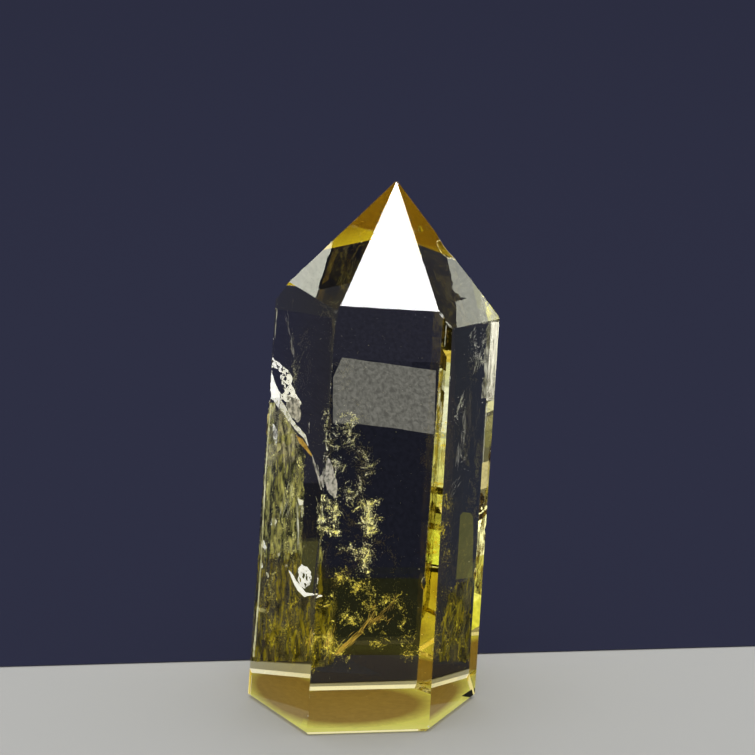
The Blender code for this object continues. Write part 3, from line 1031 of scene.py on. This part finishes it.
# The left face's mottled streaks
LEFT_STREAKS_TOP = [
    (269, 403), (276, 404), (282, 411), (291, 425), (299, 438), (304, 446), (300, 462), (286, 470),
    (262, 466), (266, 440),
]
LEFT_STREAKS = [
    (268, 402), (275, 403), (280, 409), (290, 424), (299, 441), (305, 455), (304, 470), (305, 500),
    (303, 530), (302, 560), (256, 560), (261, 490),
]
LEFT_STREAKS_LOW = [(256, 553), (301, 553), (304, 596), (314, 597), (312, 662), (250, 662), (253, 600)]
LEFT_CLOUDS = (
    (272, 412, 5, 8, 0, 350), (286, 432, 6, 12, -20, 500), (266, 440, 4, 30, 4, 800),
    (276, 450, 6, 6, 0, 300), (300, 462, 4, 14, 0, 450), (265, 478, 5, 14, 4, 600),
    (290, 490, 6, 24, 0, 1300), (297, 500, 4, 26, 0, 900), (280, 480, 6, 20, 0, 500),
    (268, 505, 5, 14, 0, 400), (282, 520, 6, 18, 0, 700), (294, 548, 5, 22, 3, 1000),
    (272, 548, 8, 18, 0, 600), (288, 540, 5, 16, 0, 500), (272, 585, 5, 18, -8, 700),
)
LEFT_GOLDEN_CLOUDS = (
    (293, 606, 4, 12, -14, 900), (287, 628, 6, 14, -22, 1300), (298, 630, 6, 22, 0, 700),
    (276, 610, 8, 22, 0, 700), (270, 640, 12, 16, 0, 900), (305, 640, 6, 18, 0, 600),
    (264, 600, 5, 24, 3, 500),
)
LEFT_TOP_CLOUDS = (
    (291.5, 345, 1.0, 9, -5, 160), (293.5, 362, 1.5, 7, -8, 300), (295, 376, 2.2, 7, 0, 500),
    (294, 384, 2.0, 4, 10, 220), (297, 372, 1.5, 6, -10, 160),
)
LEFT_STROKES = (
    (277.4, 307, 274.4, 341, 0.15, 16, 0.04), (285.5, 312, 292, 345, 0.5, 10, 0.012),
    (291, 336, 295, 366, 0.7, 14, 0.015), (309.5, 421, 308.5, 438, 0.25, 8, 0.035),
    (316.5, 462, 320, 478, 0.3, 8, 0.025), (297, 500, 299, 556, 0.5, 34, 0.04),
    (283, 520, 296, 470, 3.0, 20, 0.03),
)
# What the right face shows
RIGHT_DEPTH = 1.2  # millimetres, nearer than what the yellow edge shows of the stone's inside along that face
RIGHT_LOW = [(446, 600), (455, 582), (473, 578), (469, 662), (437, 662), (440, 630)]
RIGHT_MIST = [
    (489, 318), (493, 318), (492, 360), (489, 399), (481.5, 399), (482, 388), (484.5, 374), (483.5, 352),
    (486, 343), (486, 333),
]
RIGHT_LINE = [(486.6, 403), (487.6, 403), (485.2, 432), (483.6, 463), (482.6, 463), (484.2, 432)]
RIGHT_CLOUDS = (
    (446, 500, 2.5, 10, 5, 500), (445, 525, 2.5, 12, 5, 650), (446, 560, 5, 16, 5, 260),
    (452, 600, 7, 16, 10, 500), (460, 620, 8, 22, 0, 700), (447, 640, 6, 14, 10, 600),
    (463, 645, 6, 12, 0, 500),
)
RIGHT_TOP_CLOUDS = (
    (474, 345, 3, 14, 12, 350), (488, 338, 4, 12, 8, 450), (484, 362, 3, 14, 8, 450),
    (487, 390, 2.5, 14, 5, 350), (489, 430, 1.5, 34, 5, 350), (457, 415, 1.5, 6, 10, 160),
    (461, 404, 2, 10, 20, 180), (464, 440, 3, 24, 4, 160),
)
RIGHT_STROKES = (
    (470, 342, 478, 322, 1.5, 10, 0.03), (474, 375, 482, 340, 1.2, 16, 0.03),
    (456, 414, 466, 388, 0.7, 20, 0.035), (457, 416, 458, 410, 0.3, 6, 0.05),
    (463, 445, 466, 405, 1.2, 20, 0.025), (456, 470, 462, 430, 1.6, 18, 0.02),
    (448, 500, 460, 474, 2.0, 10, 0.02),
)
RIGHT_FEATHER = (
    (440, 630, 453, 596, 0.8, 26, 0.04), (443, 640, 462, 600, 3.0, 24, 0.025),
    (452, 660, 466, 600, 5.0, 20, 0.025),
)
# Threads in the upper part of the yellow edge
STRIP_STROKES = ((446.4, 323, 444.3, 350, 0.12, 16, 0.045), (449.5, 374, 448, 392, 0.3, 5, 0.03))

# Facet, clouds, material, depth, spread and what is not as usual
SIDE_VEILS = {
    "left_veil": (LEFT, LEFT_CLOUDS, "thread_green", tucked, 0.15, {"reach": 6, "upright": 2.2, "seed": 39}),
    "left_golden_veil": (LEFT, LEFT_GOLDEN_CLOUDS, "thread_yellow", tucked, 0.15,
                         {"reach": 7, "upright": 2, "seed": 41}),
    "left_top_veil": (LEFT, LEFT_TOP_CLOUDS, "thread_misty", tucked, 0.2,
                      {"size": 0.03, "reach": 4, "upright": 2.5, "seed": 42}),
    "right_veil": (RIGHT_FACE, RIGHT_CLOUDS, "thread_yellow", RIGHT_DEPTH, 0.25,
                   {"reach": 6, "upright": 1.8, "seed": 37}),
    "right_top_veil": (RIGHT_FACE, RIGHT_TOP_CLOUDS, "thread_pale", RIGHT_DEPTH, 0.25,
                       {"reach": 5, "upright": 2, "seed": 38}),
}


def make_side_veils():
    """The mottled streaks of the left face, and the threads, mist and wisps of the right one."""
    streaks = {"top": LEFT_STREAKS_TOP, "upper": LEFT_STREAKS, "low": LEFT_STREAKS_LOW}
    looks = ("streaks_top", "streaks_upper", "streaks_lower")
    for number, ((name, outline), look) in enumerate(zip(streaks.items(), looks)):
        film(f"left_streaks_{name}", LEFT, outline, tucked, look, (0, 0), 0.2, 2.5, 31 + number, step=0.8)
    film("right_low", RIGHT_FACE, RIGHT_LOW, RIGHT_DEPTH, "streaks_lower", (0, 0), 0.2, 4, 34, step=0.8)
    film("right_mist", RIGHT_FACE, RIGHT_MIST, 0.8, "right_mist", (0, 0), 0.1, 1.5, 43)
    for name, (facet, clouds, material, depth, spread, options) in SIDE_VEILS.items():
        veil(name, facet, clouds, material, depth, spread, **options)
    needles("left_threads", LEFT, LEFT_STROKES, "thread_pale", 1.6, seed=40)
    needles("right_threads", RIGHT_FACE, RIGHT_STROKES, "thread_pale", RIGHT_DEPTH, seed=35)
    needles("strip_threads", FRONT, STRIP_STROKES, "thread_pale", 0.4, seed=44)
    needles("right_feather", RIGHT_FACE, RIGHT_FEATHER, "thread_yellow", RIGHT_DEPTH, seed=36)
    film("right_line", RIGHT_FACE, RIGHT_LINE, 0.3, "thread_pale", (0, 0), 0, 0.2, 45, step=0.35)


# --- Painted highlights along the arrises, the shoulder and the rim of the chip at the point's right edge, and fine specks ---

ARRIS_LENGTH = 5 * MM  # edges longer than this, between faces that differ, are arrises
ARRIS_BEND = radians(8)
HIGHLIGHT_INSET = 0.13 * MM
HIGHLIGHT_STRAY = 0.02  # millimetres
HIGHLIGHT_STEP = 0.16 * MM
HIGHLIGHT_FLAKE = 0.022  # millimetres
HIGHLIGHT_VARY = 0.6
HIGHLIGHT_RUN = 1.3 * MM  # the length of a run of painted highlights
HIGHLIGHT_SHARE = 0.6  # the noise level above which an arris gets painted highlights
HIGHLIGHT_ROW = 3.7  # from one arris to the next, in the noise
RIM_STROKE = (0.1, 12, 0.045)
SHOULDER_STROKES = ((439.5, 311, 446, 319.5, 0.25, 12, 0.045), (445, 319, 453, 328.5, 0.25, 12, 0.045))
SPECKS = 500
SPECK_SIZE = 0.03  # millimetres
SPECKS_VARY = 0.5


def make_painted_highlights_and_specks():
    """Painted highlights: tiny white flakes along the arrises, a bright rim round the chip and a line on the
    shoulder; and specks.
    """
    rng = np.random.default_rng(51)
    points = np.concatenate([highlight_runs(number, *ends, rng) for number, ends in enumerate(arrises())])
    level = points * (1, 1, 0)
    inward = -level / np.maximum(np.linalg.norm(level, axis=1, keepdims=True), MM)
    points = points + inward * HIGHLIGHT_INSET + rng.normal(size=points.shape) * HIGHLIGHT_STRAY * MM
    points = points[(points @ WALL_NORMALS.T < WALL_DISTANCES - HIGHLIGHT_FLAKE * MM).all(-1)]
    sizes = HIGHLIGHT_FLAKE * MM * rng.lognormal(0, HIGHLIGHT_VARY, len(points))
    # White glowing flakes just inside the arrises: painted highlights.
    flakes("arris_painted_highlights", points, sizes, "specks_and_painted_highlights", 53)
    # A painted highlight round the chip's rim.
    rim = [(*start, *end, *RIM_STROKE) for start, end in zip(CHIP_RIM, CHIP_RIM[1:] + CHIP_RIM[:1])]
    needles("chip_rim", POINT_RIGHT, rim, "rim_painted_highlight", 0.35, seed=54)
    # A painted highlight along the shoulder.
    needles("shoulder_painted_highlight", POINT_RIGHT, SHOULDER_STROKES, "specks_and_painted_highlights", 0.3, seed=56)
    low, high = np.array(CAD_BOX)
    points = low + (high - low) * rng.random((SPECKS * 2, 3))
    points = points[buried(points)][:SPECKS]
    sizes = SPECK_SIZE * MM * rng.lognormal(0, SPECKS_VARY, len(points))
    flakes("specks", points, sizes, "specks_and_painted_highlights", 55)


def arrises():
    """The two ends of each long edge between two facets that differ."""
    mesh = bmesh.new()
    mesh.from_mesh(NODE.data)
    bmesh.ops.remove_doubles(mesh, verts=mesh.verts, dist=STEP_OFF)
    ends = [[np.array(vertex.co) for vertex in edge.verts] for edge in mesh.edges
            if edge.calc_length() > ARRIS_LENGTH and edge.calc_face_angle(0) > ARRIS_BEND]
    mesh.free()
    return ends


def highlight_runs(number, start, end, rng):
    """Points in broken runs along an arris."""
    length = np.linalg.norm(end - start)
    along = rng.random(int(length / HIGHLIGHT_STEP))
    runs = np.stack([along * length / HIGHLIGHT_RUN, np.full(len(along), number * HIGHLIGHT_ROW)], -1)
    highlighted = value_noise(runs, 52) > HIGHLIGHT_SHARE
    return start + (end - start) * along[highlighted, None]


# --- Render settings ---


def set_look():
    scene = bpy.context.scene
    scene.cycles.max_bounces = 32
    scene.cycles.transmission_bounces = 32
    scene.cycles.glossy_bounces = 24
    scene.cycles.transparent_max_bounces = 64
    scene.view_settings.view_transform = "Standard"
    scene.view_settings.look = "None"


make_camera()
make_stage()
make_world()
make_top_light()
make_cards()
make_stone()
make_ground_base()
make_fractures()
make_veils()
make_side_veils()
make_painted_highlights_and_specks()
set_look()
